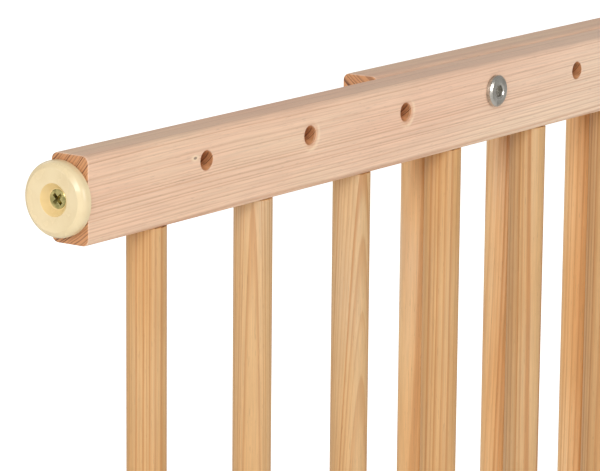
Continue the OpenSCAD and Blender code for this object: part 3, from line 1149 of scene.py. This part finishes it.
boltTurning = {
    "headRadius": 7 * mm,
    "faceRadius": 6.0 * mm,
    "rimHeight": 2.0 * mm,
    "headHeight": 2.7 * mm,
    "round": 0.25 * mm,
    "socketFlats": 5 * mm,
    "socketDepth": 2.3 * mm,
    "sinkRadius": 3.6 * mm,
    "sinkDepth": 0.35 * mm,
    "shankRadius": 3 * mm,
    "pitch": 1.0 * mm,
    "threadDepth": 0.5 * mm,
    "sleeveRadius": 3.95 * mm,
    "boreRadius": 3.05 * mm,
    "boreEnd": 4 * mm,
    "boreFlare": 0.4 * mm,
    "sleeveBevel": 0.3 * mm,
}


def headProfile(look):
    head, face, rim = look["headRadius"], look["faceRadius"], look["rimHeight"]
    top, edge = look["headHeight"], look["round"]
    return [
        (head - edge, 0), (head, edge), (head, rim - edge), (head - 0.1 * mm, rim),
        (face + 0.15 * mm, top - 0.12 * mm), (face, top - 0.02 * mm), (face - 0.2 * mm, top),
        (look["sinkRadius"], top), (look["sinkRadius"] - 0.6 * mm, top - look["sinkDepth"]),
        (0, top - look["sinkDepth"]),
    ]


def boltBlank(look, length):
    shank = look["shankRadius"]
    profile = [(0, -length), (shank - 0.5 * mm, -length)]
    profile += threadedRings(shank, -length + 0.5 * mm, -1.5 * mm, look["pitch"]) + [(shank, 0)]
    bolt = newObject("boltBlank", lathe(profile + headProfile(look), 48), "nickel")
    pressThread(bolt, "nickel", look["pitch"], look["threadDepth"], -length, -1.5 * mm)
    top = look["headHeight"]
    cut(bolt, hexPrism(look["socketFlats"], top - look["socketDepth"], top + 1 * mm))
    return smooth(bolt, 25)


def sleeveBlank(look, length):
    sleeve, bore = look["sleeveRadius"], look["boreRadius"]
    profile = [(0, -look["boreEnd"]), (bore, -look["boreEnd"])]
    flare, bevel = look["boreFlare"], look["sleeveBevel"]
    thread = threadedRings(bore, -length + flare, -look["boreEnd"] - 0.5 * mm, look["pitch"])
    profile += list(reversed(thread))
    profile += [(bore + flare, -length), (sleeve - bevel, -length), (sleeve, -length + bevel), (sleeve, 0)]
    nut = newObject("sleeveBlank", lathe(profile + headProfile(look), 48), "nickel")
    top = look["headHeight"]
    cut(nut, hexPrism(look["socketFlats"], top - look["socketDepth"], top + 1 * mm))
    return smooth(nut, 25)


def headedPieces(kind, blank, direction):
    for row in rows:
        for side in sides:
            node = f"{row}_{side}_{kind}"
            low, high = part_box(node)
            centre = (low + high) / 2
            head = boltTurning["headHeight"]
            seat = low.y + head if direction[1] < 0 else high.y - head
            piece = aim(copyPiece(blank, node + "_plated"), (centre.x, seat, centre.z), direction)
            fit(piece, node, [node])
    bpy.data.objects.remove(blank)


low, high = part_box("top_left_bolt")
headedPieces("bolt", boltBlank(boltTurning, high.y - low.y - boltTurning["headHeight"]), (0, -1, 0))
low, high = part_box("top_left_sleeve_nut")
headedPieces("sleeve_nut", sleeveBlank(boltTurning, high.y - low.y - boltTurning["headHeight"]), (0, 1, 0))
print("bolts and sleeve nuts are in")


# Spindle adjusters: handwheel, its nut and the threaded spindle

adjuster = {
    "wheelRadius": 14.5 * mm,
    "wheelRound": 1.2 * mm,
    "scallops": 10,
    "scallopDepth": 1.7 * mm,
    "nutFlats": 13 * mm,
    "nutHeight": 6.5 * mm,
    "clearRadius": 4.3 * mm,
    "nutBore": 4.05 * mm,
    "nutLead": (1 * mm, 0.5 * mm, 1.5 * mm),  # the cones at the nut's ends: past it, into it and wider
    "spindleRadius": 4 * mm,
    "pitch": 1.25 * mm,
    "threadDepth": 0.6 * mm,
    "screwBore": 2 * mm,
    "screwBoreDepth": 10.1 * mm,
}


def wheelRadiusAt(look, angle):
    # the rim dips in a smooth scallop and stays round between two of them
    dip = max(0.0, math.cos(angle * look["scallops"])) ** 1.5
    return look["wheelRadius"] - look["scallopDepth"] * dip


def wheelBlank(look, thickness):
    steps = look["scallops"] * 14
    edge = look["wheelRound"]
    levels = [(edge - r, edge - h) for r, h in arc((0, 0), edge, 90, 0, 5)]
    stack = levels + [(inset, thickness - height) for inset, height in reversed(levels)]
    rings = []
    for inset, height in stack:
        ring = []
        for i in range(steps):
            angle = i * math.tau / steps
            radius = wheelRadiusAt(look, angle) - inset
            ring.append((radius * math.cos(angle), radius * math.sin(angle), height))
        rings.append(ring)
    wheel = newObject("wheelBlank", loft(rings), "creamPlastic")
    clear, past = look["clearRadius"], 1 * mm
    tube = [(0, -past), (clear, -past), (clear, thickness + past), (0, thickness + past)]
    bore = newObject("bore", lathe(tube, 48))
    cut(wheel, hexPrism(look["nutFlats"], -1 * mm, look["nutHeight"]), bore)
    return smooth(wheel, 35, weighted=True)


def nutBlank(look):
    flats, height = look["nutFlats"], look["nutHeight"]
    nut = hexPrism(flats, 0, height)
    nut.data.materials.append(materials["clearZinc"])
    corner = flats / 2 / math.cos(math.pi / 6)
    drop = (corner - flats / 2) * 0.55
    profile = [(0, 0), (flats / 2, 0), (corner, drop), (corner + 0.01 * mm, height / 2)]
    profile += [(corner, height - drop), (flats / 2, height), (0, height)]
    cut(nut, newObject("chamfer", lathe(profile, 72)), operation="INTERSECT")
    bore = look["nutBore"]
    past, lead, flare = look["nutLead"]
    cone = [(0, -past), (bore + flare, -past), (bore, lead)]
    cone += [(bore, height - lead), (bore + flare, height + past), (0, height + past)]
    cut(nut, newObject("nutBore", lathe(cone, 48)))
    return smooth(nut, 25)


def spindleBlank(look, length):
    radius = look["spindleRadius"]
    bore, depth = look["screwBore"], look["screwBoreDepth"]
    profile = [(0, -length), (radius - 0.6 * mm, -length)]
    profile += threadedRings(radius, -length + 0.6 * mm, -1 * mm, look["pitch"])
    profile += [(radius - 0.1 * mm, 0), (bore, 0), (bore, -depth), (0, -depth)]
    spindle = newObject("spindleBlank", lathe(profile, 40), "clearZinc")
    pressThread(spindle, "clearZinc", look["pitch"], look["threadDepth"], -length, -1 * mm)
    return smooth(spindle, 40)


wheelLow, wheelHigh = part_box("top_handwheel")
spindleLow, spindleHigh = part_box("top_spindle")
adjusterParts = {
    "handwheel": (wheelBlank(adjuster, wheelHigh.x - wheelLow.x), "wheel", "cream_plastic"),
    "handwheel_nut": (nutBlank(adjuster), "wheel", "zinc_steel"),
    "spindle": (spindleBlank(adjuster, spindleHigh.x - spindleLow.x), "foot", "zinc_steel"),
}
for part, (blank, bodyKind, slotName) in adjusterParts.items():
    for row in rows:
        node = f"{row}_{part}"
        low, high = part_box(node)
        centre = (low + high) / 2
        start = high.x if part == "spindle" else low.x
        piece = aim(copyPiece(blank, node + "_finished"), (start, centre.y, centre.z), (1, 0, 0))
        fit(piece, f"{row}_{bodyKind}", [node])
    bpy.data.objects.remove(blank)
print("spindle adjusters are fitted")
